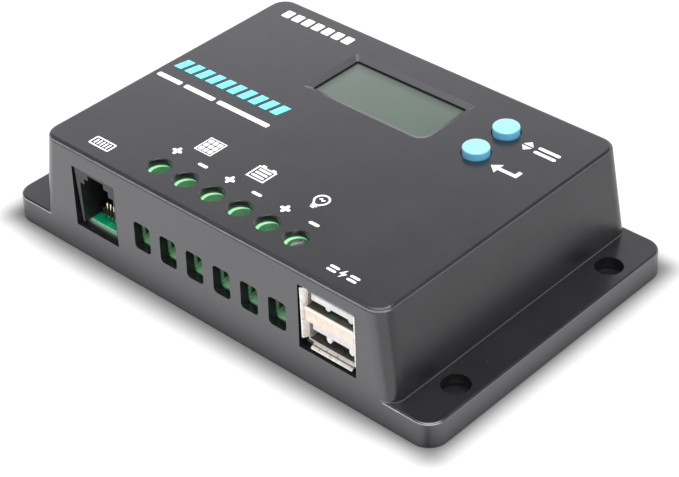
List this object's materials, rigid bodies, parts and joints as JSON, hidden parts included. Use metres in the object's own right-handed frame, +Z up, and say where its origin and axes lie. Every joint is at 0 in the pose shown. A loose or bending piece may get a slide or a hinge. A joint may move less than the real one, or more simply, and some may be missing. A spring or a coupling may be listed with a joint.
{
  "type": "charge controller",
  "caption": "Low rectangular solar charge controller with end flanges, green screw terminals, data jack, stacked USB outlet, recessed display and blue push buttons.",
  "frame": {"origin": "centre of the mounting plane, on the underside of the flanges and base plate", "axes": "+X along the long side, right as seen from the connector face; the connectors face -Y; +Z up out of the top face with the display and buttons"},
  "size_m": [0.119, 0.0738, 0.0274],
  "materials": {
    "case_plastic": "satin grained",
    "plate_plastic": "satin grained",
    "steel_zinc": "zinc plated",
    "terminal_plastic": "satin",
    "brass": "nickel-dulled brass",
    "jack_plastic": "satin",
    "gold_contact": "gold plated",
    "usb_steel": "nickel plated",
    "usb_cream": "satin",
    "usb_plastic": "satin",
    "display_glass": "semi-gloss",
    "display_frame": "satin",
    "light_guide": "frosted",
    "button_plastic": "satin",
    "switch_plastic": "satin",
    "board_laminate": "solder mask",
    "tin": "tinned",
    "capacitor_can": "printed sleeve",
    "ferrite": "sintered",
    "copper": "enamelled copper",
    "epoxy": "moulded epoxy",
    "aluminium": "extruded",
    "chip_ceramic": "fired"
  },
  "bodies": {
    "case": {"housing": "case_plastic", "base_plate": "plate_plastic", "plate_screws": "steel_zinc", "board_screws": "steel_zinc", "terminal_block": "terminal_plastic", "terminal_cages": "brass", "data_jack": "jack_plastic", "jack_comb": "switch_plastic", "jack_contacts": "gold_contact", "usb_shell": "usb_steel", "usb_insulator": "usb_cream", "usb_tongues": "usb_plastic", "usb_contacts": "gold_contact", "display_frame": "display_frame", "display_light_guide": "light_guide", "display_glass": "display_glass", "display_pins": "tin", "select_switch": "switch_plastic", "enter_switch": "switch_plastic", "switch_legs": "tin", "capacitors": "capacitor_can", "choke_core": "ferrite", "choke_winding": "copper", "transistors": "epoxy", "transistor_tabs": "tin", "transistor_leads": "tin", "heat_spreader": "aluminium", "controller_chip": "epoxy", "chip_legs": "tin", "diodes": "epoxy", "diode_leads": "tin", "current_shunt": "copper", "crystal": "tin", "chip_resistors": "chip_ceramic", "inductor_block": "ferrite", "circuit_board": "board_laminate"},
    "pad_1": {"terminal_pad_1": "steel_zinc"},
    "screw_1": {"terminal_screw_1": "steel_zinc"},
    "pad_2": {"terminal_pad_2": "steel_zinc"},
    "screw_2": {"terminal_screw_2": "steel_zinc"},
    "pad_3": {"terminal_pad_3": "steel_zinc"},
    "screw_3": {"terminal_screw_3": "steel_zinc"},
    "pad_4": {"terminal_pad_4": "steel_zinc"},
    "screw_4": {"terminal_screw_4": "steel_zinc"},
    "pad_5": {"terminal_pad_5": "steel_zinc"},
    "screw_5": {"terminal_screw_5": "steel_zinc"},
    "pad_6": {"terminal_pad_6": "steel_zinc"},
    "screw_6": {"terminal_screw_6": "steel_zinc"},
    "select": {"select_button": "button_plastic", "select_plunger": "switch_plastic"},
    "enter": {"enter_button": "button_plastic", "enter_plunger": "switch_plastic"}
  },
  "joints": [
    {"name": "pad_1_slide", "type": "slide", "parent": "case", "child": "pad_1", "axis": [0, 0, 1], "range_m": [0, 0.003]},
    {"name": "screw_1_turn", "type": "hinge", "parent": "pad_1", "child": "screw_1", "pos_m": [-0.01845, -0.02895, 0.0156], "axis": [0, 0, 1], "range_deg": [0, 1800]},
    {"name": "pad_2_slide", "type": "slide", "parent": "case", "child": "pad_2", "axis": [0, 0, 1], "range_m": [0, 0.003]},
    {"name": "screw_2_turn", "type": "hinge", "parent": "pad_2", "child": "screw_2", "pos_m": [-0.01083, -0.02895, 0.0156], "axis": [0, 0, 1], "range_deg": [0, 1800]},
    {"name": "pad_3_slide", "type": "slide", "parent": "case", "child": "pad_3", "axis": [0, 0, 1], "range_m": [0, 0.003]},
    {"name": "screw_3_turn", "type": "hinge", "parent": "pad_3", "child": "screw_3", "pos_m": [-0.00321, -0.02895, 0.0156], "axis": [0, 0, 1], "range_deg": [0, 1800]},
    {"name": "pad_4_slide", "type": "slide", "parent": "case", "child": "pad_4", "axis": [0, 0, 1], "range_m": [0, 0.003]},
    {"name": "screw_4_turn", "type": "hinge", "parent": "pad_4", "child": "screw_4", "pos_m": [0.00441, -0.02895, 0.0156], "axis": [0, 0, 1], "range_deg": [0, 1800]},
    {"name": "pad_5_slide", "type": "slide", "parent": "case", "child": "pad_5", "axis": [0, 0, 1], "range_m": [0, 0.003]},
    {"name": "screw_5_turn", "type": "hinge", "parent": "pad_5", "child": "screw_5", "pos_m": [0.01203, -0.02895, 0.0156], "axis": [0, 0, 1], "range_deg": [0, 1800]},
    {"name": "pad_6_slide", "type": "slide", "parent": "case", "child": "pad_6", "axis": [0, 0, 1], "range_m": [-0.003, 0]},
    {"name": "screw_6_turn", "type": "hinge", "parent": "pad_6", "child": "screw_6", "pos_m": [0.01965, -0.02895, 0.0156], "axis": [0, 0, 1], "range_deg": [-1800, 0]},
    {"name": "select_press", "type": "slide", "parent": "case", "child": "select", "axis": [0, 0, -1], "range_m": [0, 0.0005], "stiffness_N_per_m": 400},
    {"name": "enter_press", "type": "slide", "parent": "case", "child": "enter", "axis": [0, 0, -1], "range_m": [0, 0.0005], "stiffness_N_per_m": 400}
  ],
  "couplings": [
    {"joint": "screw_1_turn", "follows": "pad_1_slide", "rad_per_m": 10472},
    {"joint": "screw_2_turn", "follows": "pad_2_slide", "rad_per_m": 10472},
    {"joint": "screw_3_turn", "follows": "pad_3_slide", "rad_per_m": 10472},
    {"joint": "screw_4_turn", "follows": "pad_4_slide", "rad_per_m": 10472},
    {"joint": "screw_5_turn", "follows": "pad_5_slide", "rad_per_m": 10472},
    {"joint": "screw_6_turn", "follows": "pad_6_slide", "rad_per_m": 10472}
  ]
}
